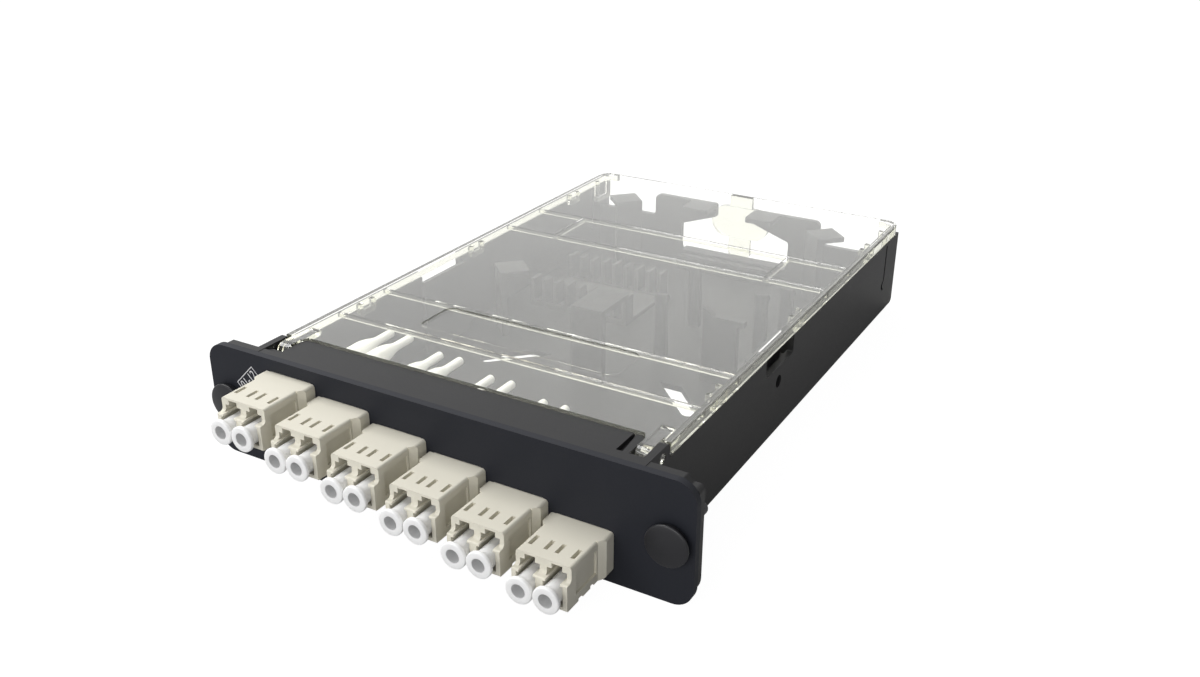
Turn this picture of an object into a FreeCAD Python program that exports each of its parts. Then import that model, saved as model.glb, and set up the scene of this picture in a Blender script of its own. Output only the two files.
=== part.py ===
# Fibre cassette: a slim black tray behind a painted front plate. A stepped row of duplex adapters
# passes through the plate, a clear lid swings up on a hinge behind it, two push-pull plungers hold
# the cassette in its shelf, and a comb in the tray holds the splices.
# X runs to the right, Y to the rear and Z up. Working Y counts from the plate's front face, and
# save() moves each piece so that the origin lies under the middle of the whole assembly.
import FreeCAD, Part
import math
import os

# Cutters run past what they cut by over, and joined pieces sink into each other by root
over = 1.0
root = 0.5

# Front plate and the tray's flange behind it
plate_width = 129.5
plate_height = 28.9
plate_thick = 1.8
plate_corner = 4.8
flange_thick = 2.5
flange_inset = 0.4
flange_step_drop = 1.4
flange_step_x = 60.6
flange_round = 0.6

# Tray
case_width = 104.6
case_rear = 170.0
case_lift = 1.95
wall = 1.8
floor_thick = 1.6
case_corner = 1.5
lid_seat_gap = 0.3

# Lid
lid_top = 28.3
lid_thick = 1.2
lid_skirt = 3.0
lid_skirt_thick = 1.8
skirt_nose_round = 1.3
rear_skirt_gap_half = 46.3
lid_corner = 4.0
lid_edge_round = 0.3
lid_front_gap = 0.4
rib_width = 1.2
rib_depth = 1.0
rib_places = (30.5, 48.4, 107.0, 125.0)
window_half = 33.7
label_half = 28.0
label_front = 33.6
label_rear = 47.0
label_depth = 0.3
label_corner = 2.5
hook_places = (39.8, 89.0, 144.2)
hook_width = 6.5
hook_drop = 4.6
hook_thick = 1.2
hook_bar = 1.3
hook_round = 1.0
hook_gap_round = 0.5
corner_hook_place = 163.6
corner_hook_width = 9.0
corner_hook_drop = 8.6
tongue_width = 7.7
tongue_thick = 1.4
tongue_low = 6.6
tongue_round = 1.0
pad_width = 20.0
pad_height = 10.6
pad_mid_z = 18.3
pad_proud = 0.5

# Deck over the adapters and the hinge at its two ends
deck_drop = 0.4
deck_thick = 1.5
deck_rear = 14.0
deck_round = 0.5
hinge_y = 9.8
lug_radius = 2.0
lug_width = 3.2
lug_gap = 0.4
lug_side_gap = 0.3
lug_root = (1.1, 2.0)
lug_arm = 2.4
lug_reach = 5.5
lug_round = 1.0
hinge_pin_radius = 1.2
hinge_pin_inset = 0.1
hinge_fit = 0.06
cheek_rise = 0.3
cheek_reach = 3.2
cheek_round = 1.4
cheek_gap = 0.45
pocket_reach = 3.8
groove_x = 43.6
groove_width = (0.7, 1.5)
groove_depth = 1.1

# Adapters: local z counts down from each adapter's own top
adapter_count = 6
adapter_pitch = 15.61
adapter_step = 2.636
adapter_top_first = 25.68
adapter_half = 6.45
adapter_height = 9.5
adapter_front = -14.6
adapter_rear = 12.9
adapter_lip = 1.7
adapter_lip_drop = 3.4
adapter_lip_sweep = 1.6
adapter_edge = 0.7
adapter_rim = 0.3
collar_half = 7.6
collar_depth = 4.4
collar_bevel = 1.1
collar_bevel_length = 1.5
collar_round = 0.8
window_gap = 0.15
window_round = 0.4
bay_gap = 0.6
port_spacing = 6.25
port_width = 4.6
port_floor = 0.95
port_top = 1.7
port_web_y = -0.9
port_web = 1.2
keyway_width = 2.45
roof = 0.5
latch_slot_offset = 1.82
latch_slot_width = 0.92
latch_slot_length = 3.3
latch_slot_y = -10.2
guide_width = 0.6
guide_top = 3.4
guide_low = 3.9
port_axis_drop = 6.2
panel_depth = 0.5
panel_front = -12.9
panel_rear = -4.9
panel_top = 1.9
panel_low = 7.5
foot_notches = ((-12.0, -10.3), (-7.4, -6.0))
notch_height = 0.6
snap_reach = 0.55
snap_length = 2.2
snap_height = 3.0
seat_gap = 0.05

# Sleeves, ferrules, plugs and boots
barrel_radius = 1.5
barrel_half_length = 5.5
sleeve_outer = 0.82
sleeve_inner = 0.66
sleeve_half_length = 5.4
sleeve_slit = 0.25
ferrule_radius = 0.62
ferrule_tip = 0.05
ferrule_length = 9.0
plug_width = 4.5
plug_front = 0.4
plug_rear = 20.0
plug_edge = 0.4
plug_hood_radius = 1.7
plug_hood_depth = 4.6
latch_width = 2.1
latch_thick = 0.7
latch_root = 2.2
latch_end = 16.2
latch_rise = 5.3
latch_foot = 1.6
latch_tip = 1.0
latch_grip = 3.0
latch_bend = 1.0
latch_edge = 0.3
boot_rear = 40.4
boot_shoulder = 30.0
boot_neck = 33.4
boot_radius = 2.25
boot_round = 2.0
boot_tail_radius = 1.1
boot_tip = 0.66

# Dust caps
cap_front = -19.1
cap_flange_radius = 3.05
cap_flange = 1.0
cap_stem_radius = 2.2
cap_stem_rear = -8.0
cap_flare = 0.7
cap_bevel = 0.2
cap_hole_radius = 1.55
cap_hole_depth = 6.0

# Plungers and grommets
plunger_shift = 0.675
plunger_head_radius = 4.85
plunger_head = 0.6
plunger_dome = 0.55
plunger_pin_rear = 15.2
plunger_tip = 0.6
plunger_pin_radius = 1.5
plunger_fit = 0.06
grommet_collar_radius = 4.1
grommet_collar = 1.2
grommet_radius = 3.0
grommet_shank_radius = 2.5
grommet_leg_taper = 0.25
grommet_hole_gap = 0.05
grommet_rear = 9.6
grommet_nose = 1.0
grommet_slit = 0.6
grommet_slit_front = 6.8
grommet_lead = 0.4

# Side wall openings, and the screens inside the notches
notch_y = (64.4, 82.2)
side_notch_depth = 4.8
notch_round = 0.5
screen_y = (61.8, 81.8)
screen_gap = 1.6
screen_thick = 1.2
screen_drop = 0.4
side_hole_y = 73.2
side_hole_z = 15.9
side_hole_radius = 1.65
slit_y = 158.3
slit_width = 1.0
slit_high = 24.0
slit_turn = 13.2
slit_low = 9.6
slit_hook = 1.9
slit_hook_width = 1.3
slit_shift = 0.2
slit_round = (0.8, 0.5)

# Rear wall and the tabs on it
rear_wall_y = 165.4
keyhole_half = 19.0
keyhole_low = 7.0
keyhole_high = 16.4
neck_half = 6.6
neck_low = 20.7
arm_half = 28.9
shoulder_top = 17.6
arm_tab_half = 15.5
arm_tab_depth = 7.6
tab_thick = 1.5
tab_round = 0.8
sill_reach = 168.2
shoulder_round = 1.5
arm_round = 1.8
neck_round = 0.6
keyhole_round = (1.0, 1.5)

# Posts, guides and floor openings
centre_post_half = 4.75
centre_post_y = 68.3
centre_post_top = 25.0
centre_tab_length = 14.5
post_thick = 2.0
post_fillet = 0.8
corner_tab = 8.6
corner_turn = 45.0
corner_post_place = (-36.3, 87.7)
corner_post_top = 23.0
rear_post_place = (34.5, 153.0)
rear_post_top = 25.6
hook_post_x = 30.8
hook_post_y = 84.5
hook_post_half = 4.9
hook_post_lip = 2.0
hook_post_spur = 3.2
slim_post_width = 3.5
slim_post_top = 22.2
slim_posts = ((9.4, 92.7), (8.8, 115.5), (33.3, 106.5), (38.0, 113.5))
slim_barb = 1.3
slim_barb_drop = 2.2
slim_tip_thick = 1.4
slim_round = 0.4
bar_half = 16.8
bar_y = 156.6
bar_top = 8.5
bar_round = 2.5
floor_slot_rear = (16.8, 23.3, 78.6)
floor_slot_front = ((34.2, 67.0), (31.2, 63.8))
floor_slot_round = 2.2

# Splice holder
splice_x = -25.0
splice_y = 119.0
splice_slots = 8
splice_pitch = 4.0
splice_slot_width = 2.7
splice_length = 27.0
splice_base = 1.2
splice_rail = 4.5
splice_top = 12.4
splice_peg_radius = 1.6
splice_round = 1.0
tooth_round = 0.4
tooth_root = 0.6

case_half = case_width / 2
wall_inside = case_half - wall
floor_top = case_lift + floor_thick
wall_top = lid_top - lid_skirt - lid_seat_gap
lid_under = lid_top - lid_thick
deck_top = lid_top - deck_drop
deck_low = deck_top - deck_thick
lid_front = deck_rear + lid_front_gap
flange_rear = plate_thick + flange_thick
flange_top = plate_height - flange_inset
hinge_z = lid_top - lug_radius
lug_outer = wall_inside - lug_gap
lug_inner = lug_outer - lug_width
pocket_inner = lug_inner - lug_side_gap
pocket_front = hinge_y - pocket_reach
cheek_top = lid_top + cheek_rise
cheek_rear = hinge_y + cheek_reach
skirt_front = cheek_rear + cheek_gap
rear_wall_front = rear_wall_y - wall
tongue_front = case_rear - tongue_thick
plunger_x = (case_half + plate_width / 2) / 2 + plunger_shift
plunger_z = plate_height / 2
head_rear = -grommet_collar - seat_gap
middle_y = (cap_front + case_rear) / 2

V = FreeCAD.Vector
PLANES = {
    "xy": lambda u, v, w: V(u, v, w),
    "xz": lambda u, v, w: V(u, w, v),
    "yz": lambda u, v, w: V(w, u, v),
}


def outline(plane, corners, level):
    """Closed wire through (u, v) or (u, v, radius) corners. A radius rounds its corner with a
    tangent arc, which is kept within the two straight runs beside it."""
    place = PLANES[plane]
    count = len(corners)
    points = [V(c[0], c[1], 0) for c in corners]
    radii = [c[2] if len(c) > 2 else 0.0 for c in corners]
    stretches = []
    for i, here in enumerate(points):
        if radii[i] <= 0:
            stretches.append((here, None, here))
            continue
        back = points[i - 1] - here
        ahead = points[(i + 1) % count] - here
        room_back = back.Length * (0.5 if radii[i - 1] > 0 else 1.0)
        room_ahead = ahead.Length * (0.5 if radii[(i + 1) % count] > 0 else 1.0)
        half = back.getAngle(ahead) / 2
        reach = min(radii[i] / math.tan(half), room_back, room_ahead)
        radius = reach * math.tan(half)
        back.normalize()
        ahead.normalize()
        inward = back + ahead
        inward.normalize()
        middle = here + inward * (radius / math.sin(half) - radius)
        stretches.append((here + back * reach, middle, here + ahead * reach))
    edges = []
    for i, (start, middle, finish) in enumerate(stretches):
        if middle is not None:
            ends = [place(p.x, p.y, level) for p in (start, middle, finish)]
            edges.append(Part.Arc(*ends).toShape())
        after = stretches[(i + 1) % count][0]
        if (after - finish).Length > 1e-6:
            edges.append(Part.makeLine(place(finish.x, finish.y, level), place(after.x, after.y, level)))
    return Part.Wire(edges)


def prism(plane, corners, low, high):
    """Outline in the plane, pushed along the third axis from low to high."""
    face = Part.Face(outline(plane, corners, low))
    return face.extrude(PLANES[plane](0, 0, high - low))


def rectangle(u0, u1, v0, v1, radius=0.0):
    return [(u0, v0, radius), (u1, v0, radius), (u1, v1, radius), (u0, v1, radius)]


def block(x0, x1, y0, y1, z0, z1):
    return prism("xy", rectangle(x0, x1, y0, y1), z0, z1)


def turned(corners, x, z):
    """Solid turned about the line along Y through (x, z), from (radius, y) corners."""
    solid = Part.Face(outline("xy", corners, 0.0)).revolve(V(0, 0, 0), V(0, 1, 0), 360)
    solid.translate(V(x, 0, z))
    return solid


def rod_y(x, z, radius, y0, y1):
    return Part.makeCylinder(radius, y1 - y0, V(x, y0, z), V(0, 1, 0))


def rod_x(y, z, radius, x0, x1):
    return Part.makeCylinder(radius, x1 - x0, V(x0, y, z), V(1, 0, 0))


def mirrored(shape):
    return shape.mirror(V(0, 0, 0), V(1, 0, 0))


def both_sides(shapes):
    return shapes + [mirrored(s) for s in shapes]


def joined(first, others):
    return first.fuse(others).removeSplitter()


def save(name, shape):
    placed = shape.copy()
    placed.translate(V(0, -middle_y, 0))
    placed.exportStep(os.path.join("parts", name + ".step"))


def adapter_places():
    """Centre x and top z of each adapter, stepping down from left to right."""
    first = -adapter_pitch * (adapter_count - 1) / 2
    return [
        (first + i * adapter_pitch, adapter_top_first - i * adapter_step)
        for i in range(adapter_count)
    ]


def port_places():
    """Axis (x, z) of every port, left to right."""
    return [
        (x + side * port_spacing / 2, top - port_axis_drop)
        for x, top in adapter_places()
        for side in (-1, 1)
    ]


def adapter_windows(front, rear):
    """Clearance cut-outs for the row of adapters through a wall from front to rear."""
    half = adapter_half + window_gap
    return [
        prism("xz", rectangle(x - half, x + half, top - adapter_height - window_gap,
                              top + window_gap, window_round), front, rear)
        for x, top in adapter_places()
    ]


def grommet_holes(front, rear):
    hole = rod_y(plunger_x, plunger_z, grommet_radius + grommet_hole_gap, front, rear)
    return both_sides([hole])


def faceplate():
    corners = rectangle(-plate_width / 2, plate_width / 2, 0, plate_height, plate_corner)
    plate = prism("xz", corners, 0, plate_thick)
    through = (-over, plate_thick + over)
    return plate.cut(adapter_windows(*through) + grommet_holes(*through))


def flange():
    """The tray's own front wall: its top steps down towards the two corners."""
    side = plate_width / 2 - flange_inset
    low_top = flange_top - flange_step_drop
    ramp = flange_step_drop
    corners = [
        (-side, flange_inset, plate_corner), (side, flange_inset, plate_corner),
        (side, low_top, plate_corner), (flange_step_x + ramp, low_top, flange_round),
        (flange_step_x, flange_top, flange_round), (-flange_step_x, flange_top, flange_round),
        (-flange_step_x - ramp, low_top, flange_round), (-side, low_top, plate_corner),
    ]
    return prism("xz", corners, plate_thick, flange_rear)


def side_wall():
    """Right side wall with the hinge cheek at its front end, notch, hole and hooked slit."""
    profile = [
        (plate_thick, case_lift), (case_rear, case_lift, case_corner), (case_rear, wall_top),
        (cheek_rear, wall_top), (cheek_rear, cheek_top, cheek_round),
        (plate_thick, cheek_top),
    ]
    side = prism("yz", profile, wall_inside, case_half)
    through = (wall_inside - over, case_half + over)
    notch_low = wall_top - side_notch_depth
    notch = [
        (notch_y[0], wall_top + over), (notch_y[0], notch_low, notch_round),
        (notch_y[1], notch_low, notch_round), (notch_y[1], wall_top + over),
    ]
    far = slit_y + slit_width
    bend_y = slit_y - slit_hook
    bend_z = slit_turn - slit_hook
    slit = [
        (slit_y, slit_high), (slit_y, slit_turn), (bend_y, bend_z, slit_round[0]),
        (slit_y, slit_low), (far, slit_low), (bend_y + slit_hook_width, bend_z, slit_round[1]),
        (far, slit_turn - slit_shift), (far, slit_high),
    ]
    cuts = [
        prism("yz", notch, *through),
        prism("yz", slit, *through),
        rod_x(side_hole_y, side_hole_z, side_hole_radius, *through),
        rod_x(hinge_y, hinge_z, hinge_pin_radius + hinge_fit, *through),
    ]
    return side.cut(cuts)


def screen():
    """Upright that closes the view through the right side notch and leaves room for the lid's hooks."""
    face = wall_inside - screen_gap
    return block(face - screen_thick, face, screen_y[0], screen_y[1], floor_top - root,
                 wall_top - screen_drop)


def deck():
    """Roof over the adapters, open at both ends for the lid's hinge lugs."""
    profile = [
        (plate_thick, deck_low), (deck_rear, deck_low), (deck_rear, deck_top, deck_round),
        (plate_thick, deck_top),
    ]
    roof_plate = prism("yz", profile, -wall_inside, wall_inside)
    past = deck_rear + over
    pocket = prism("xy", [
        (pocket_inner, pocket_front), (wall_inside, pocket_front), (wall_inside, past),
        (pocket_inner - lug_root[0], past), (pocket_inner - lug_root[0], deck_rear),
        (pocket_inner, deck_rear - lug_root[1]),
    ], deck_low - over, deck_top + over)
    groove = prism("xy", [
        (groove_x, pocket_front), (groove_x + groove_width[1], pocket_front),
        (groove_x + groove_width[0], past), (groove_x, past),
    ], deck_top - groove_depth, deck_top + over)
    return roof_plate.cut(both_sides([pocket]) + [groove])


def rear_wall():
    """Rear wall: a keyhole entry in the middle, an arm on each side of it and a low shoulder beyond."""
    half = [
        (wall_inside, shoulder_top), (arm_half, shoulder_top, shoulder_round),
        (arm_half, wall_top, arm_round), (neck_half, wall_top, neck_round),
        (neck_half, neck_low, neck_round), (keyhole_half, keyhole_high, keyhole_round[0]),
        (keyhole_half, keyhole_low, keyhole_round[1]),
    ]
    left = [(-c[0],) + tuple(c[1:]) for c in half]
    low = floor_top - root
    corners = [(-wall_inside, low), (wall_inside, low)] + half + left[::-1]
    sheet = prism("xz", corners, rear_wall_front, rear_wall_y)
    arm_tab = prism("xy", rectangle(neck_half, arm_tab_half, rear_wall_front - arm_tab_depth,
                                    rear_wall_y, tab_round), wall_top - tab_thick, wall_top)
    sill = block(-keyhole_half, keyhole_half, rear_wall_front, sill_reach,
                 keyhole_low - wall, keyhole_low)
    return [sheet, sill] + both_sides([arm_tab])


def centre_post():
    """Upright with a flat tab on top that the fibres pass under."""
    back = centre_post_y + centre_tab_length
    profile = [
        (centre_post_y, floor_top - root), (centre_post_y + post_thick, floor_top - root),
        (centre_post_y + post_thick, centre_post_top - tab_thick, post_fillet),
        (back, centre_post_top - tab_thick), (back, centre_post_top), (centre_post_y, centre_post_top),
    ]
    return prism("yz", profile, -centre_post_half, centre_post_half)


def corner_post(x, y, top, turn):
    """Upright set across the corner of the fibre path, with a tab on top to one side."""
    half = corner_tab / 2
    profile = [
        (-half, floor_top - root), (-half + post_thick, floor_top - root),
        (-half + post_thick, top - tab_thick, post_fillet), (half, top - tab_thick), (half, top),
        (-half, top),
    ]
    post = prism("yz", profile, -half, half)
    post.rotate(V(0, 0, 0), V(0, 0, 1), turn)
    post.translate(V(x, y, 0))
    return post


def hook_post():
    """Broad upright with a raised spur at one end and a flat lip at the other."""
    left = hook_post_x - hook_post_half
    right = hook_post_x + hook_post_half
    profile = [
        (left, floor_top - root), (right, floor_top - root), (right, corner_post_top - tab_thick),
        (right + hook_post_lip, corner_post_top - tab_thick), (right + hook_post_lip, corner_post_top),
        (left + hook_post_spur, corner_post_top, post_fillet), (left, centre_post_top),
    ]
    return prism("xz", profile, hook_post_y, hook_post_y + post_thick)


def slim_post(x, y):
    """Thin springy upright with a small barb at its tip."""
    barb_z = slim_post_top - slim_barb_drop
    back = y + slim_tip_thick
    profile = [
        (y, floor_top - root), (y + post_thick, floor_top - root), (back, barb_z),
        (back + slim_barb, barb_z), (back, slim_post_top, slim_round), (y, slim_post_top, slim_round),
    ]
    return prism("yz", profile, x - slim_post_width / 2, x + slim_post_width / 2)


def floor_slot():
    """Slanted opening in the floor: straight behind and rounded in front."""
    near, far, rear = floor_slot_rear
    corners = [(near, rear), (far, rear)] + [c + (floor_slot_round,) for c in floor_slot_front]
    return prism("xy", corners, case_lift - over, floor_top + over)


def case():
    floor_plate = prism("yz", [
        (plate_thick, case_lift), (case_rear, case_lift, case_corner), (case_rear, floor_top),
        (plate_thick, floor_top),
    ], -case_half, case_half)
    walls = both_sides([side_wall()])
    bar = prism("xz", [
        (-bar_half, floor_top - root), (bar_half, floor_top - root), (bar_half, bar_top, bar_round),
        (-bar_half, bar_top, bar_round),
    ], bar_y - wall / 2, bar_y + wall / 2)
    posts = [centre_post(), hook_post(), bar]
    posts.append(corner_post(*corner_post_place, corner_post_top, -corner_turn))
    posts += both_sides([screen(), corner_post(*rear_post_place, rear_post_top, -corner_turn)])
    posts += [slim_post(x, y) for x, y in slim_posts]
    tray = joined(floor_plate, walls + [flange(), deck()] + rear_wall() + posts)
    bay = [
        block(x - adapter_half - window_gap, x + adapter_half + window_gap, flange_rear,
              adapter_rear + bay_gap, top - adapter_height - window_gap, top)
        for x, top in adapter_places()
    ]
    pegs = [
        Part.makeCylinder(splice_peg_radius + seat_gap, floor_thick + 2 * over,
                          V(x, y, case_lift - over))
        for x, y in splice_pegs()
    ]
    through = (plate_thick - over, flange_rear + over)
    cuts = bay + pegs + adapter_windows(*through) + grommet_holes(*through)
    cuts += both_sides([floor_slot()])
    return tray.cut(cuts).removeSplitter()


def hook(y, drop, width):
    """Snap hook inside the lid's right skirt: a U-shaped loop that hangs beside the wall."""
    outer = wall_inside - lid_seat_gap
    half = width / 2
    low = lid_top - drop
    loop = prism("yz", rectangle(y - half, y + half, low, lid_under + root, hook_round),
                 outer - hook_thick, outer)
    gap = prism("yz", rectangle(y - half + hook_bar, y + half - hook_bar, low + hook_bar, lid_under,
                                hook_gap_round), outer - hook_thick - over, outer + over)
    return loop.cut(gap)


def hinge_lug():
    """Right hinge lug: a rounded arm that reaches forward from the lid, with its pin."""
    reach = lid_front + lug_reach
    arm = prism("yz", [
        (hinge_y, lid_top - lug_arm), (reach, lid_top - lug_arm, lug_round), (reach, lid_top),
        (hinge_y, lid_top),
    ], lug_inner, lug_outer)
    web = prism("xy", [
        (lug_inner - lug_root[0], lid_front + root), (lug_inner - lug_root[0], lid_front),
        (lug_inner, lid_front - lug_root[1]), (lug_inner + root, lid_front - lug_root[1]),
        (lug_inner + root, lid_front + root),
    ], lid_under, lid_top)
    eye = rod_x(hinge_y, hinge_z, lug_radius, lug_inner, lug_outer)
    pin = rod_x(hinge_y, hinge_z, hinge_pin_radius, lug_inner + root, case_half - hinge_pin_inset)
    return [arm, web, eye, pin]


def rounded_edge(box):
    """True for the lid's top edges along its two sides, its rear and the corners between them."""
    on_top = box.ZMin > lid_top - lid_edge_round
    beside = min(abs(box.XMin), abs(box.XMax)) > case_half - lid_corner - lid_edge_round
    behind = box.YMin > case_rear - lid_edge_round
    return on_top and box.YMax > lid_front + over and (beside or behind)


def lid():
    skirt_low = lid_top - lid_skirt
    shell = prism("xy", [
        (-case_half, skirt_front), (case_half, skirt_front), (case_half, case_rear, lid_corner),
        (-case_half, case_rear, lid_corner),
    ], skirt_low, lid_top)
    side = case_half - lid_skirt_thick
    hollow = prism("xy", [
        (-side, skirt_front - over), (side, skirt_front - over),
        (side, case_rear - lid_skirt_thick, lid_corner - lid_skirt_thick),
        (-side, case_rear - lid_skirt_thick, lid_corner - lid_skirt_thick),
    ], skirt_low - over, lid_under)
    notch = block(-side, side, skirt_front - over, lid_front, lid_under - over, lid_top + over)
    bend = skirt_nose_round + over
    skirt_nose = prism("yz", [
        (skirt_front - over, skirt_low - over), (skirt_front + bend, skirt_low - over),
        (skirt_front + bend, skirt_low), (skirt_front, skirt_low, skirt_nose_round),
        (skirt_front, skirt_low + bend), (skirt_front - over, skirt_low + bend),
    ], -case_half - over, case_half + over)
    rear_gap = block(-rear_skirt_gap_half, rear_skirt_gap_half, case_rear - lid_skirt_thick - over,
                     case_rear + over, skirt_low - over, lid_under)
    shell = shell.cut([hollow, notch, skirt_nose, rear_gap])
    rim = [e for e in shell.Edges if rounded_edge(e.BoundBox)]
    shell = shell.makeFillet(lid_edge_round, rim)
    ribs = [
        block(-side - root, side + root, y - rib_width / 2, y + rib_width / 2, lid_under - rib_depth,
              lid_under + root)
        for y in rib_places
    ]
    window = block(window_half - rib_width / 2, window_half + rib_width / 2, rib_places[2],
                   rib_places[3], lid_under - rib_depth, lid_under + root)
    hooks = [hook(y, hook_drop, hook_width) for y in hook_places]
    hooks.append(hook(corner_hook_place, corner_hook_drop, corner_hook_width))
    tongue = prism("xz", [
        (-tongue_width / 2, tongue_low, tongue_round), (tongue_width / 2, tongue_low, tongue_round),
        (tongue_width / 2, lid_under + root), (-tongue_width / 2, lid_under + root),
    ], tongue_front, case_rear)
    pad = prism("xz", rectangle(-pad_width / 2, pad_width / 2, pad_mid_z - pad_height / 2,
                                pad_mid_z + pad_height / 2, pad_height / 2),
                tongue_front - pad_proud, case_rear)
    parts = ribs + [tongue, pad] + both_sides([window] + hooks + hinge_lug())
    whole = joined(shell, parts)
    label = prism("xy", rectangle(-label_half, label_half, label_front, label_rear, label_corner),
                  lid_top - label_depth, lid_top + over)
    return whole.cut(label)


def adapter(x, top):
    """Duplex adapter: two ports from each end, with latch keyways above them."""
    bottom = -adapter_height
    lip = adapter_front - adapter_lip
    side_view = [
        (adapter_front, 0), (adapter_rear, 0), (adapter_rear, bottom, adapter_rim),
        (lip, bottom, adapter_rim), (lip, -adapter_lip_drop, adapter_rim),
        (adapter_front, -adapter_lip_drop, adapter_lip_sweep),
    ]
    front_view = [
        (-adapter_half, bottom), (adapter_half, bottom), (adapter_half, 0, adapter_edge),
        (-adapter_half, 0, adapter_edge),
    ]
    body = prism("yz", side_view, -adapter_half, adapter_half)
    body = body.common(prism("xz", front_view, lip - over, adapter_rear + over))
    collar_plan = [
        (-collar_half, 0), (-collar_half, collar_bevel_length - collar_depth),
        (-collar_half + collar_bevel, -collar_depth), (collar_half - collar_bevel, -collar_depth),
        (collar_half, collar_bevel_length - collar_depth), (collar_half, 0),
    ]
    collar_face = rectangle(-collar_half, collar_half, bottom, 0, collar_round)
    collar = prism("xy", collar_plan, bottom, 0).common(prism("xz", collar_face, -collar_depth, 0))
    snap_low = -adapter_height / 2 - snap_height / 2
    snap_front = flange_rear + seat_gap
    snap_rear = flange_rear + snap_length
    snap = prism("xy", [
        (adapter_half - root, snap_front), (adapter_half + snap_reach, snap_front),
        (adapter_half, snap_rear), (adapter_half - root, snap_rear),
    ], snap_low, snap_low + snap_height)
    body = body.fuse([collar] + both_sides([snap]))
    cuts = []
    barrels = []
    bores = []
    for side in (-1, 1):
        axis = side * port_spacing / 2
        left = axis - port_width / 2
        right = axis + port_width / 2
        key = keyway_width / 2
        port = [
            (left, bottom + port_floor), (right, bottom + port_floor), (right, -port_top),
            (axis + key, -port_top), (axis + key, -roof), (axis - key, -roof),
            (axis - key, -port_top), (left, -port_top),
        ]
        guided = port[:2] + [
            (right, -guide_low), (right - guide_width, -guide_low), (right - guide_width, -guide_top),
            (right, -guide_top),
        ] + port[2:] + [
            (left, -guide_top), (left + guide_width, -guide_top), (left + guide_width, -guide_low),
            (left, -guide_low),
        ]
        cuts.append(prism("xz", guided, lip - over, port_web_y - port_web / 2))
        cuts.append(prism("xz", port, port_web_y + port_web / 2, adapter_rear + over))
        barrels.append(rod_y(axis, -port_axis_drop, barrel_radius, port_web_y - barrel_half_length,
                             port_web_y + barrel_half_length))
        bores.append(rod_y(axis, -port_axis_drop, sleeve_outer + seat_gap,
                           port_web_y - barrel_half_length - over,
                           port_web_y + barrel_half_length + over))
        for offset in (-1, 1):
            mid = axis + offset * latch_slot_offset
            cuts.append(block(mid - latch_slot_width / 2, mid + latch_slot_width / 2,
                              latch_slot_y - latch_slot_length / 2,
                              latch_slot_y + latch_slot_length / 2, -port_top - root, over))
    recess = block(adapter_half - panel_depth, adapter_half + over, panel_front, panel_rear,
                   -panel_low, -panel_top)
    foot_gaps = [
        block(port_spacing / 2 + port_width / 2, adapter_half + over, front, rear, bottom - over,
              bottom + notch_height)
        for front, rear in foot_notches
    ]
    cuts += both_sides([recess] + foot_gaps)
    body = body.cut(cuts).fuse(barrels).cut(bores).removeSplitter()
    body.translate(V(x, 0, top))
    return body


def sleeve(x, z):
    """Split ceramic sleeve, open along a slit underneath."""
    low = port_web_y - sleeve_half_length
    high = port_web_y + sleeve_half_length
    through = (low - over, high + over)
    tube = rod_y(x, z, sleeve_outer, low, high).cut(rod_y(x, z, sleeve_inner, *through))
    return tube.cut(block(x - sleeve_slit / 2, x + sleeve_slit / 2, *through,
                          z - sleeve_outer - over, z))


def ferrule(x, z):
    start = port_web_y + ferrule_tip
    return rod_y(x, z, ferrule_radius, start, start + ferrule_length)


def connector(x, z):
    """Plug housing with a hood over the adapter's barrel and a latch lever on top."""
    half = plug_width / 2
    body = prism("xz", rectangle(-half, half, -half, half, plug_edge), plug_front, plug_rear)
    under = latch_rise - latch_thick
    lever = prism("yz", [
        (latch_root, half - root), (latch_root + latch_foot, half - root),
        (latch_end - latch_tip, under), (latch_end, under), (latch_end, latch_rise, latch_edge),
        (latch_end - latch_grip, latch_rise, latch_bend), (latch_root, half + root, latch_edge),
    ], -latch_width / 2, latch_width / 2)
    body = body.fuse(lever)
    hood = rod_y(0, 0, plug_hood_radius, plug_front - over, plug_front + plug_hood_depth)
    bore_end = port_web_y + ferrule_tip + ferrule_length
    bore = rod_y(0, 0, ferrule_radius + seat_gap / 2, plug_front, bore_end)
    body = body.cut([hood, bore]).removeSplitter()
    body.translate(V(x, 0, z))
    return body


def boot(x, z):
    """Strain relief: a plain barrel that tapers to a slim round-ended tail."""
    return turned([
        (0, plug_rear), (boot_radius, plug_rear), (boot_radius, boot_shoulder, boot_round),
        (boot_tail_radius, boot_neck), (boot_tail_radius, boot_rear - boot_tip),
        (boot_tail_radius - boot_tip, boot_rear), (0, boot_rear),
    ], x, z)


def dust_cap(x, z):
    """Hollow-fronted cap: a flange, a short flare and a plain stem that fills the port."""
    flange_back = cap_front + cap_flange
    hole_end = cap_front + cap_hole_depth
    return turned([
        (cap_hole_radius, cap_front), (cap_flange_radius - cap_bevel, cap_front),
        (cap_flange_radius, cap_front + cap_bevel), (cap_flange_radius, flange_back),
        (cap_stem_radius + cap_flare, flange_back), (cap_stem_radius, flange_back + cap_flare),
        (cap_stem_radius, cap_stem_rear - cap_bevel), (cap_stem_radius - cap_bevel, cap_stem_rear),
        (0, cap_stem_rear), (0, hole_end), (cap_hole_radius, hole_end),
    ], x, z)


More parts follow.
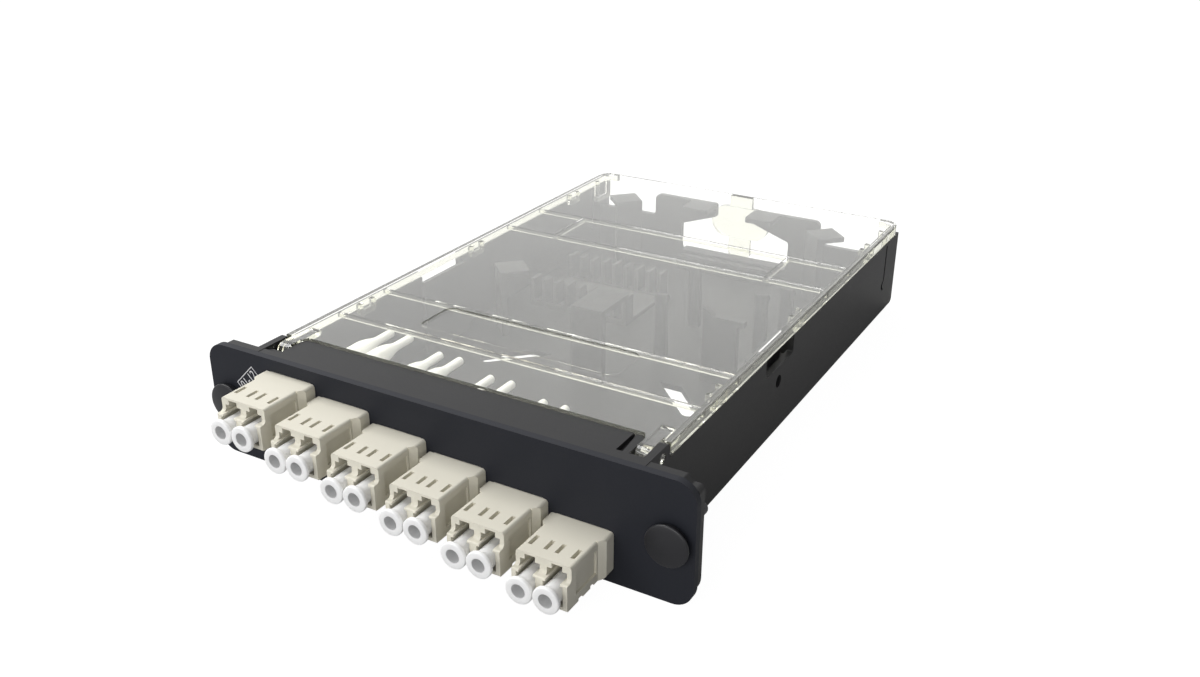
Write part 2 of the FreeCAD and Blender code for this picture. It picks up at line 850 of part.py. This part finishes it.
def plunger(x):
    """Thin domed head on a pin with a bevelled tip."""
    rim = head_rear - plunger_head
    crown = rim - plunger_dome
    ball = (plunger_head_radius ** 2 + plunger_dome ** 2) / (2 * plunger_dome)
    bend = (plunger_head_radius ** 2 + plunger_dome ** 2) / (2 * plunger_head_radius)
    return turned([
        (0, crown), (bend, crown, ball), (plunger_head_radius, rim), (plunger_head_radius, head_rear),
        (plunger_pin_radius, head_rear), (plunger_pin_radius, plunger_pin_rear - plunger_tip),
        (plunger_pin_radius - plunger_tip, plunger_pin_rear), (0, plunger_pin_rear),
    ], x, plunger_z)


def grommet(x):
    """Split grommet: a collar in front of the plate and four legs behind the flange."""
    bore = plunger_pin_radius + plunger_fit
    shell = turned([
        (bore, -grommet_collar), (grommet_collar_radius, -grommet_collar),
        (grommet_collar_radius, 0), (grommet_radius, 0), (grommet_radius, flange_rear),
        (grommet_shank_radius, flange_rear), (grommet_shank_radius, grommet_slit_front),
        (grommet_shank_radius - grommet_leg_taper, grommet_rear - grommet_nose),
        (bore + grommet_lead, grommet_rear), (bore, grommet_rear),
    ], x, plunger_z)
    run = (grommet_slit_front, grommet_rear + over)
    half = grommet_slit / 2
    wide = grommet_radius + over
    slits = [
        block(x - half, x + half, *run, plunger_z - wide, plunger_z + wide),
        block(x - wide, x + wide, *run, plunger_z - half, plunger_z + half),
    ]
    return shell.cut(slits)


def splice_pegs():
    """Places of the two pegs that fix the splice holder to the floor."""
    reach = splice_length / 2 - splice_rail / 2
    return [(splice_x, splice_y - reach), (splice_x, splice_y + reach)]


def splice_holder():
    """Base plate with a comb at each end, one slot for each pair of stacked protectors."""
    half = (splice_slots * splice_pitch + splice_pitch - splice_slot_width) / 2
    near = splice_y - splice_length / 2
    far = splice_y + splice_length / 2
    base_top = floor_top + splice_base
    slot_low = base_top + tooth_root
    base = prism("xy", rectangle(splice_x - half, splice_x + half, near, far, splice_round),
                 floor_top, base_top)
    comb = [
        (splice_x - half, floor_top), (splice_x + half, floor_top),
        (splice_x + half, splice_top, tooth_round),
    ]
    for i in range(splice_slots):
        mid = splice_x + ((splice_slots - 1) / 2 - i) * splice_pitch
        right = mid + splice_slot_width / 2
        left = mid - splice_slot_width / 2
        comb += [(right, splice_top, tooth_round), (right, slot_low), (left, slot_low),
                 (left, splice_top, tooth_round)]
    comb.append((splice_x - half, splice_top, tooth_round))
    combs = [prism("xz", comb, near, near + splice_rail), prism("xz", comb, far - splice_rail, far)]
    pegs = [Part.makeCylinder(splice_peg_radius, floor_thick + root, V(x, y, case_lift))
            for x, y in splice_pegs()]
    return joined(base, combs + pegs)


def main():
    os.makedirs("parts", exist_ok=True)
    save("faceplate", faceplate())
    save("case", case())
    save("lid", lid())
    save("splice_holder", splice_holder())
    for number, (x, top) in enumerate(adapter_places(), 1):
        save("adapter_%d" % number, adapter(x, top))
    for number, (x, z) in enumerate(port_places(), 1):
        save("dust_cap_%02d" % number, dust_cap(x, z))
        save("connector_%02d" % number, connector(x, z))
        save("boot_%02d" % number, boot(x, z))
    save("alignment_sleeves", Part.makeCompound([sleeve(x, z) for x, z in port_places()]))
    save("ferrules", Part.makeCompound([ferrule(x, z) for x, z in port_places()]))
    for side, x in (("left", -plunger_x), ("right", plunger_x)):
        save("plunger_" + side, plunger(x))
        save("grommet_" + side, grommet(x))


main()
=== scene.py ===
# %% [markdown]
# # A fibre cassette: paint, clear plastic and small moulded parts
# The cassette is a slim tray that slides into a shelf. The tray, lid, plate and adapters come ready made
# from the engineering model. This lesson dresses them: it sets up the camera and light, gives each part
# the finish it has in life, and models again the small turned parts that need smoother forms.

# %% Load the frame
import math
import bmesh
import bpy
from mathutils import Matrix, Vector


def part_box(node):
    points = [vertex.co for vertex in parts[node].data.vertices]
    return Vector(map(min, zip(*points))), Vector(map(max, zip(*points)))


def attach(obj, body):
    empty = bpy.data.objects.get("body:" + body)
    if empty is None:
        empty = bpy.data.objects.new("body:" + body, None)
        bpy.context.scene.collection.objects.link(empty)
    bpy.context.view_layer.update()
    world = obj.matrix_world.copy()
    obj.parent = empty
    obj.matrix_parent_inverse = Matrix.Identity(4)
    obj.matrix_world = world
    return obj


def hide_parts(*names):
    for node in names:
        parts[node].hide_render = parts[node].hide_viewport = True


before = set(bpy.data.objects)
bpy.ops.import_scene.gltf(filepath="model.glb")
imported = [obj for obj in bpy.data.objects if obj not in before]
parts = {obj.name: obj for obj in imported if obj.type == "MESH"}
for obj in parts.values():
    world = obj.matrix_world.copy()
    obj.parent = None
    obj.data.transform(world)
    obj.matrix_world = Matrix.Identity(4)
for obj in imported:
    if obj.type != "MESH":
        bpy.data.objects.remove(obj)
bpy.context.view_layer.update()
print("parts in the frame:", len(parts))

# %% [markdown]
# The drawings of this cassette give sizes in millimetres and count depth from the front of the plate.
# The frame is in metres and counts from the middle. One helper turns the first into the second, so that
# every size below can be read straight from the real thing.

# %% Sizes in millimetres
MM = 0.001
plate_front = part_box("faceplate")[0][1]


def place(x, depth, height):
    """Point from millimetres: right of the middle, behind the plate's front and above its lower edge."""
    return Vector((x * MM, plate_front + depth * MM, height * MM))


print("plate front at y =", round(plate_front, 5))

# %% [markdown]
# The photograph was taken from the right, above and in front, with a fairly long lens. The camera's place
# and turn were worked out from straight edges of the cassette, so they are written here as numbers.

# %% Camera
camera_data = bpy.data.cameras.new("product_camera")
camera_data.sensor_width = 36.0
camera_data.lens = 35.062
camera = bpy.data.objects.new("product_camera", camera_data)
bpy.context.scene.collection.objects.link(camera)
camera.location = Vector((142.006, -248.102, 147.182)) * MM
yaw = math.radians(29.772)
pitch = math.radians(24.915)
roll = math.radians(0.225)
tilt = Matrix.Rotation(math.pi / 2 - pitch, 4, "X")
turn = Matrix.Rotation(yaw, 4, "Z") @ tilt @ Matrix.Rotation(roll, 4, "Z")
camera.rotation_euler = turn.to_euler()
bpy.context.scene.camera = camera
bpy.context.scene.view_settings.view_transform = "Standard"

# %% [markdown]
# Materials in Blender are small trees of nodes. One helper adds a node, sets its options and fills its
# sockets with either a value or a wire from another node. A second turns the colour codes that painters
# and printers use into the linear numbers that the renderer works in.

# %% Node and colour helpers
def add_node(tree, kind, sockets=None, **options):
    """Adds a node, sets its options, and gives each named socket a value or a link."""
    made = tree.nodes.new(kind)
    for name, value in options.items():
        setattr(made, name, value)
    for name, value in (sockets or {}).items():
        if isinstance(value, bpy.types.NodeSocket):
            tree.links.new(value, made.inputs[name])
        else:
            made.inputs[name].default_value = value
    return made


def colour(code, alpha=1.0):
    """Linear colour from an sRGB hex code such as E8E4D8."""
    channels = [int(code[i:i + 2], 16) / 255 for i in (0, 2, 4)]
    linear = [c / 12.92 if c <= 0.04045 else ((c + 0.055) / 1.055) ** 2.4 for c in channels]
    return (*linear, alpha)


def new_material(name):
    """Empty node material, with its tree and its output."""
    material = bpy.data.materials.new(name)
    material.use_nodes = True
    material.node_tree.nodes.clear()
    return material, material.node_tree, add_node(material.node_tree, "ShaderNodeOutputMaterial")


# %% [markdown]
# The photograph is a studio picture on white. A pale floor carries the cassette's soft shadow. To the
# camera and through the clear lid it also glows, so that it reads as white paper, and mirrored in the
# dark plastic it glows a little. As a bouncer of light it is grey card, which keeps the sides of the
# parts darker than their tops.

# %% Floor and background
PAPER_GLOW = 0.97
MIRRORED_PAPER_GLOW = 0.15
FLOOR_HALF = 4.0


def white_stage():
    """Pale floor with the shadow kept, and its material."""
    material, tree, output = new_material("studio_paper")
    rays = add_node(tree, "ShaderNodeLightPath")
    seen = add_node(tree, "ShaderNodeMath", {
        0: rays.outputs["Is Camera Ray"], 1: rays.outputs["Is Transmission Ray"]}, operation="MAXIMUM")
    white = add_node(tree, "ShaderNodeMath", {0: seen.outputs[0], 1: PAPER_GLOW}, operation="MULTIPLY")
    strength = add_node(tree, "ShaderNodeMath", {
        0: rays.outputs["Is Glossy Ray"], 1: MIRRORED_PAPER_GLOW, 2: white.outputs[0]},
        operation="MULTIPLY_ADD")
    paper = add_node(tree, "ShaderNodeBsdfDiffuse", {"Color": colour("ACACAC")})
    faint = add_node(tree, "ShaderNodeBsdfDiffuse", {"Color": colour("5C5C5C")})
    card = add_node(tree, "ShaderNodeMixShader", {
        0: seen.outputs[0], 1: paper.outputs[0], 2: faint.outputs[0]})
    glow = add_node(tree, "ShaderNodeEmission", {
        "Color": colour("FFFFFF"), "Strength": strength.outputs[0]})
    both = add_node(tree, "ShaderNodeAddShader", {0: card.outputs[0], 1: glow.outputs[0]})
    tree.links.new(both.outputs[0], output.inputs["Surface"])
    sheet = bmesh.new()
    bmesh.ops.create_grid(sheet, x_segments=1, y_segments=1, size=FLOOR_HALF)
    mesh = bpy.data.meshes.new("studio_floor")
    sheet.to_mesh(mesh)
    sheet.free()
    mesh.materials.append(material)
    floor = bpy.data.objects.new("studio_floor", mesh)
    bpy.context.scene.collection.objects.link(floor)
    return floor


white_stage()

# %% [markdown]
# The world is a plain pale surround. To the camera and through the lid it is white, and mirrored it is
# nearly white, which gives the lid its pale veil. As a lamp it is weaker, so that the shapes keep their
# shading.

# %% World
WORLD_AS_LAMP = 0.24
WORLD_SEEN = 1.0
WORLD_MIRRORED = 0.8

world = bpy.data.worlds.new("studio_surround")
bpy.context.scene.world = world
world.use_nodes = True
sky = world.node_tree
sky.nodes.clear()
rays = add_node(sky, "ShaderNodeLightPath")
shown = add_node(sky, "ShaderNodeMath", {
    0: rays.outputs["Is Camera Ray"], 1: rays.outputs["Is Transmission Ray"]}, operation="MAXIMUM")
soft, white, mirrored = (
    add_node(sky, "ShaderNodeBackground", {"Color": colour("FFFFFF"), "Strength": strength})
    for strength in (WORLD_AS_LAMP, WORLD_SEEN, WORLD_MIRRORED))
choice = add_node(sky, "ShaderNodeMixShader", {
    0: shown.outputs[0], 1: soft.outputs[0], 2: white.outputs[0]})
choice = add_node(sky, "ShaderNodeMixShader", {
    0: rays.outputs["Is Glossy Ray"], 1: choice.outputs[0], 2: mirrored.outputs[0]})
add_node(sky, "ShaderNodeOutputWorld", {"Surface": choice.outputs[0]})

# %% [markdown]
# Three soft lamps do the rest. A key above and to the left makes the tops of the adapters bright and
# their right sides grey. A fill lights the fronts. A large one far behind is there to be mirrored in the
# clear lid, as the white wall of a studio is.

# %% Lamps
def soft_lamp(name, spot, aim, size, power):
    """Square area lamp at one point, facing another."""
    data = bpy.data.lights.new(name, "AREA")
    data.shape = "SQUARE"
    data.size = size
    data.energy = power
    lamp = bpy.data.objects.new(name, data)
    lamp.location = spot
    lamp.rotation_euler = (Vector(aim) - Vector(spot)).to_track_quat("-Z", "Y").to_euler()
    bpy.context.scene.collection.objects.link(lamp)
    return lamp


soft_lamp("key_lamp", (-0.36, -0.04, 0.5), (0, 0, 0), 0.4, 3.2)
soft_lamp("front_fill", (-0.05, -1.2, 0.3), (0, 0, 0.02), 1.2, 11.5)
soft_lamp("veil_lamp", (-1.1, 1.35, 0.95), (0, 0, 0), 3.0, 9.0).visible_camera = False


# %% [markdown]
# ## Finishes
# Coloured plastics and paint share one build: a body colour that varies a little, a fine bump from
# the mould or the spray, and a roughness that varies with it. Each finish below gives its own sizes.

# %% Plastic and paint
def coated(name, base, second, roughness, grain_mm, grain_depth_mm,
           patch_mm=9.0, specular=0.5, milky=0.0):
    """Opaque plastic or paint: two close colours in soft patches, and a fine grain as bump."""
    material, tree, output = new_material(name)
    where = add_node(tree, "ShaderNodeTexCoord")
    patches = add_node(tree, "ShaderNodeTexNoise", {
        "Vector": where.outputs["Object"], "Scale": 1.0 / (patch_mm * MM), "Detail": 3.0, "Roughness": 0.55})
    grain = add_node(tree, "ShaderNodeTexNoise", {
        "Vector": where.outputs["Object"], "Scale": 1.0 / (grain_mm * MM), "Detail": 4.0, "Roughness": 0.6})
    tint = add_node(tree, "ShaderNodeMix", {0: patches.outputs[0], 6: colour(base), 7: colour(second)},
                    data_type="RGBA")
    rough = add_node(tree, "ShaderNodeMapRange", {
        "Value": grain.outputs[0], "To Min": roughness - 0.06, "To Max": roughness + 0.06})
    bump = add_node(tree, "ShaderNodeBump", {
        "Height": grain.outputs[0], "Distance": grain_depth_mm * MM, "Strength": 0.6})
    surface = add_node(tree, "ShaderNodeBsdfPrincipled", {
        "Base Color": tint.outputs[2], "Roughness": rough.outputs[0], "Normal": bump.outputs[0],
        "Specular IOR Level": specular, "IOR": 1.5, "Subsurface Weight": milky,
        "Subsurface Radius": (3.0, 3.0, 3.0), "Subsurface Scale": MM})
    tree.links.new(surface.outputs[0], output.inputs["Surface"])
    return material


powder_coat = coated("powder_coated_steel", "1B1D24", "1F2128", 0.6, 0.5, 0.02, specular=0.24)
black_abs = coated("black_moulded_abs", "262627", "2B2B2C", 0.42, 0.35, 0.015, specular=0.2)
beige_pbt = coated("beige_moulded_pbt", "E2DED0", "DAD6C7", 0.45, 0.3, 0.008, specular=0.22)
white_cap = coated("white_polyethylene", "FEFEFE", "FAFAFA", 0.35, 0.5, 0.006, milky=0.25)
# Greyer plastic for the faces inside the caps' blind holes: painted shade in the hole.
bore_painted_shade = coated("polyethylene_bore_painted_shade", "DEDEDE", "D8D8D8", 0.5, 0.5, 0.006)
white_boot = coated("white_soft_pvc", "FAFAF8", "F4F4F1", 0.45, 0.4, 0.01)
plug_pbt = coated("natural_plug_resin", "ECE8DC", "E3DFD2", 0.4, 0.3, 0.006)
black_nylon = coated("black_nylon", "1D1D20", "222226", 0.34, 0.4, 0.01, specular=0.4)
comb_grey = coated("comb_moulded_abs", "3A3A3B", "424243", 0.45, 0.35, 0.015)
zirconia = coated("polished_zirconia", "F2EFE8", "EDEAE2", 0.14, 0.3, 0.001)


# %% [markdown]
# The lid is clear polycarbonate about a millimetre thick. Light bends in it, and its broad top catches
# the white surround as a pale veil. Its rims and ribs stand on edge, so one looks through more of the
# plastic there and sees its faint olive tint, which follows how far a face leans from the flat. Where the
# surface turns away from the eye, a much darker olive is painted on as well: painted shade for the dark
# lines along the lid's edges. Rays that run from a lamp to what lies below pass straight through, or the
# tray would stay dark.

# %% Clear lid
def clear_lid():
    """Clear plastic that lets the lamps through."""
    material, tree, output = new_material("clear_moulded_polycarbonate")
    where = add_node(tree, "ShaderNodeTexCoord")
    flow = add_node(tree, "ShaderNodeTexNoise", {
        "Vector": where.outputs["Object"], "Scale": 1.0 / (14.0 * MM), "Detail": 2.0})
    ripple = add_node(tree, "ShaderNodeBump", {
        "Height": flow.outputs[0], "Distance": 0.02 * MM, "Strength": 0.3})
    facing = add_node(tree, "ShaderNodeSeparateXYZ", {0: where.outputs["Normal"]})
    flatness = add_node(tree, "ShaderNodeMath", {0: facing.outputs["Z"]}, operation="ABSOLUTE")
    tint = add_node(tree, "ShaderNodeMix", {
        0: flatness.outputs[0], 6: colour("F4F4E8"), 7: colour("FCFCF9")}, data_type="RGBA")
    # Much darker olive where the surface turns away from the eye: painted shade along the lid's edges.
    lean = add_node(tree, "ShaderNodeLayerWeight", {"Blend": 0.5})
    painted_edge_shade = add_node(tree, "ShaderNodeMapRange", {
        "Value": lean.outputs["Facing"], "From Min": 0.72, "From Max": 0.95})
    tint = add_node(tree, "ShaderNodeMix", {
        0: painted_edge_shade.outputs[0], 6: tint.outputs[2], 7: colour("9A9A80")}, data_type="RGBA")
    glass = add_node(tree, "ShaderNodeBsdfPrincipled", {
        "Base Color": tint.outputs[2], "Roughness": 0.0, "IOR": 1.585, "Transmission Weight": 0.965,
        "Normal": ripple.outputs[0]})
    rays = add_node(tree, "ShaderNodeLightPath")
    through = add_node(tree, "ShaderNodeBsdfTransparent", {"Color": colour("F6F6EE")})
    both = add_node(tree, "ShaderNodeMixShader", {
        0: rays.outputs["Is Shadow Ray"], 1: glass.outputs[0], 2: through.outputs[0]})
    tree.links.new(both.outputs[0], output.inputs["Surface"])
    return material


lid_clear = clear_lid()

# %% [markdown]
# Each part from the frame now gets its finish by name.

# %% Dress the parts
finishes = {"faceplate": powder_coat, "case": black_abs, "lid": lid_clear, "splice_holder": comb_grey,
            "alignment_sleeves": zirconia, "ferrules": zirconia, "grommet": black_nylon,
            "plunger": black_nylon, "adapter": beige_pbt, "dust_cap": white_cap,
            "connector": plug_pbt, "boot": white_boot}
for name, part in parts.items():
    family = next(key for key in sorted(finishes, key=len, reverse=True) if name.startswith(key))
    part.data.materials.clear()
    part.data.materials.append(finishes[family])
print("finishes given:", len(parts))

# %% [markdown]
# ## Small turned parts
# The dust caps, the boots of the plugs and the plungers are round about one line. On the real object they
# are moulded, with soft edges. A row of points gives half their outline. Rounding the points first and
# then spinning the outline gives smooth edges at every size, which is quicker than bevelling the solid.

# %% Spin an outline
def turned_piece(name, outline, x, height, material, steps=40):
    """Smooth piece from (radius, depth, rounding) corners in mm, spun about a line that runs to the rear."""
    shape = bmesh.new()
    centre = place(x, 0.0, height)
    corners = [shape.verts.new(place(x + radius, depth, height)) for radius, depth, _ in outline]
    for near, far in zip(corners, corners[1:]):
        shape.edges.new((near, far))
    for corner, (_, _, rounding) in zip(corners, outline):
        if rounding:
            bmesh.ops.bevel(shape, geom=[corner], offset=rounding * MM, segments=4, profile=0.5,
                            affect="VERTICES", material=-1)
    bmesh.ops.spin(shape, geom=shape.verts[:] + shape.edges[:], cent=centre, axis=(0, 1, 0),
                   angle=2 * math.pi, steps=steps, use_merge=True)
    bmesh.ops.remove_doubles(shape, verts=shape.verts[:], dist=0.001 * MM)
    bmesh.ops.recalc_face_normals(shape, faces=shape.faces[:])
    for face in shape.faces:
        face.smooth = True
    mesh = bpy.data.meshes.new(name)
    shape.to_mesh(mesh)
    shape.free()
    mesh.set_sharp_from_angle(angle=math.radians(35))
    mesh.materials.append(material)
    piece = bpy.data.objects.new(name, mesh)
    bpy.context.scene.collection.objects.link(piece)
    return piece


# %% [markdown]
# Every port has its cap and, behind the plate, its boot. A port's place is read from the cap that the
# frame already holds there, so the smooth piece sits where the plain one did.

# %% Ports
def middle_mm(node):
    """Middle of a node in mm, across and up."""
    low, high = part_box(node)
    return (low[0] + high[0]) / 2 / MM, (low[2] + high[2]) / 2 / MM


port_numbers = ["%02d" % number for number in range(1, 13)]
ports = {number: middle_mm("dust_cap_" + number) for number in port_numbers}
print("first port (mm):", [round(v, 2) for v in ports["01"]])

# %% [markdown]
# A dust cap is soft white polyethylene: a thin flange that fingers grip, a stem that fills the port and
# a blind hole in front. Its edges are generously rounded, as the mould needs. The faces inside the hole
# get a greyer plastic: painted shade for the darkness deep in the hole.

# %% Dust caps
cap_outline = [
    (0.0, -13.1, 0.0), (1.55, -13.1, 0.15), (1.55, -19.1, 0.12), (3.05, -19.1, 0.28), (3.05, -18.1, 0.28),
    (2.75, -18.1, 0.2), (2.2, -17.25, 0.5), (2.2, -8.0, 0.2), (0.0, -8.0, 0.0)]
bore_reach = 1.6 * MM
bore_floor = place(0.0, -13.0, 0.0).y
for number, (x, height) in ports.items():
    cap = turned_piece("soft_cap_" + number, cap_outline, x, height, white_cap)
    # Faces inside the blind hole take the greyer plastic: painted shade.
    cap.data.materials.append(bore_painted_shade)
    for face in cap.data.polygons:
        off_axis = (face.center - place(x, 0.0, height)).xz.length
        if off_axis < bore_reach and face.center.y < bore_floor:
            face.material_index = 1
    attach(cap, "dust_cap_" + number)
    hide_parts("dust_cap_" + number)
print("caps:", len(ports), "with", len(cap.data.polygons), "faces each")

# %% [markdown]
# A boot is the soft sleeve behind a plug that keeps the fibre from bending sharply: a plain barrel that
# narrows to a slim tail.

# %% Boots
boot_outline = [
    (0.0, 20.0, 0.0), (2.25, 20.0, 0.25), (2.25, 30.0, 2.0),
    (1.1, 33.4, 1.2), (1.1, 40.4, 0.6), (0.0, 40.4, 0.0)]
for number, (x, height) in ports.items():
    boot = turned_piece("soft_boot_" + number, boot_outline, x, height, white_boot, steps=32)
    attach(boot, "cassette")
    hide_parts("boot_" + number)
print("boots:", len(ports))

# %% [markdown]
# Each plunger is one nylon moulding: a low domed head to push with a thumb, and a pin that spreads the
# legs of its grommet.

# %% Plungers
pin_outline = [
    (0.0, -2.4, 0.0), (2.4, -2.27, 1.5), (4.85, -1.85, 0.3), (4.85, -1.25, 0.15), (1.5, -1.25, 0.1),
    (1.5, 14.6, 0.3), (0.9, 15.2, 0.2), (0.0, 15.2, 0.0)]
for side in ("left", "right"):
    x, height = middle_mm("plunger_" + side)
    plunger = turned_piece("smooth_plunger_" + side, pin_outline, x, height, black_nylon, steps=64)
    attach(plunger, "plunger_" + side)
    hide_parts("plunger_" + side)
print("plungers at +-", round(x, 2), "mm")

# %% [markdown]
# ## Printed port numbers
# The plate has a small framed label in white ink, turned half a right angle: the numbers of the ports. On
# the real plate it is screen printed, so it stands up by a hair's breadth only. The frame is a square cut
# to length with a thin edge left by an inset, and the numbers are type, narrowed as on the plate.

# %% Label frame
INK_MM = 0.02
label_width, label_height, line_width = 7.66, 3.3, 0.3
label_corner = (-56.41, 20.08)


def label_frame():
    """Thin rectangle that lies flat, with its upper left corner at the origin, in mm."""
    shape = bmesh.new()
    bmesh.ops.create_grid(shape, x_segments=1, y_segments=1, size=0.5)
    bmesh.ops.translate(shape, verts=shape.verts[:], vec=(0.5, -0.5, 0.0))
    bmesh.ops.scale(shape, verts=shape.verts[:], vec=(label_width, label_height, 1.0))
    bmesh.ops.inset_region(shape, faces=shape.faces[:], thickness=line_width, use_boundary=True)
    middle = Vector((label_width / 2, -label_height / 2, 0.0))
    inner = min(shape.faces, key=lambda face: (face.calc_center_median() - middle).length)
    bmesh.ops.delete(shape, geom=[inner], context="FACES")
    walls = bmesh.ops.extrude_face_region(shape, geom=shape.faces[:])["geom"]
    raised = [item for item in walls if isinstance(item, bmesh.types.BMVert)]
    bmesh.ops.translate(shape, verts=raised, vec=(0.0, 0.0, INK_MM))
    bmesh.ops.recalc_face_normals(shape, faces=shape.faces[:])
    mesh = bpy.data.meshes.new("label_frame")
    shape.to_mesh(mesh)
    shape.free()
    return mesh


# %% [markdown]
# The numbers are type made into a mesh, then stretched to the width and height read from the plate. They
# start as a flat text, so they are laid in the same corner as the frame before either is stood up.

# %% Label numbers
type_size = 3.1
type_width, type_height, type_margin = 6.2, 2.25, 0.5


def label_numbers():
    """The port numbers as a mesh that lies inside the label's frame, in mm."""
    curve = bpy.data.curves.new("label_numbers", "FONT")
    curve.body = "01-12"
    curve.size = type_size
    curve.extrude = INK_MM / 2
    curve.resolution_u = 3
    holder = bpy.data.objects.new("label_type", curve)
    bpy.context.scene.collection.objects.link(holder)
    bpy.context.view_layer.update()
    mesh = bpy.data.meshes.new_from_object(holder)
    bpy.data.objects.remove(holder)
    xs = [vert.co.x for vert in mesh.vertices]
    ys = [vert.co.y for vert in mesh.vertices]
    across = type_width / (max(xs) - min(xs))
    upward = type_height / (max(ys) - min(ys))
    mesh.transform(Matrix.Translation((-min(xs), -min(ys), INK_MM / 2)))
    corner = ((label_width - type_width) / 2, -type_margin - type_height, 0.0)
    mesh.transform(Matrix.Translation(corner) @ Matrix.Diagonal((across, upward, 1.0, 1.0)))
    return mesh


# %% [markdown]
# Both meshes are turned half a right angle, stood up against the plate and moved to the label's corner.

# %% Label on the plate
ink = coated("white_screen_ink", "D8D8DA", "CFCFD2", 0.5, 0.3, 0.004)
stand = Matrix.Rotation(math.pi / 2, 4, "X") @ Matrix.Rotation(math.pi / 4, 4, "Z")
spot = Matrix.Translation(place(label_corner[0], 0.0, label_corner[1]))
for name, mesh in (("label_frame", label_frame()), ("label_numbers", label_numbers())):
    mesh.transform(spot @ stand @ Matrix.Scale(MM, 4))
    mesh.materials.clear()
    mesh.materials.append(ink)
    piece = bpy.data.objects.new(name, mesh)
    bpy.context.scene.collection.objects.link(piece)
    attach(piece, "cassette")
    print(name, [round(v / MM, 2) for v in piece.dimensions])
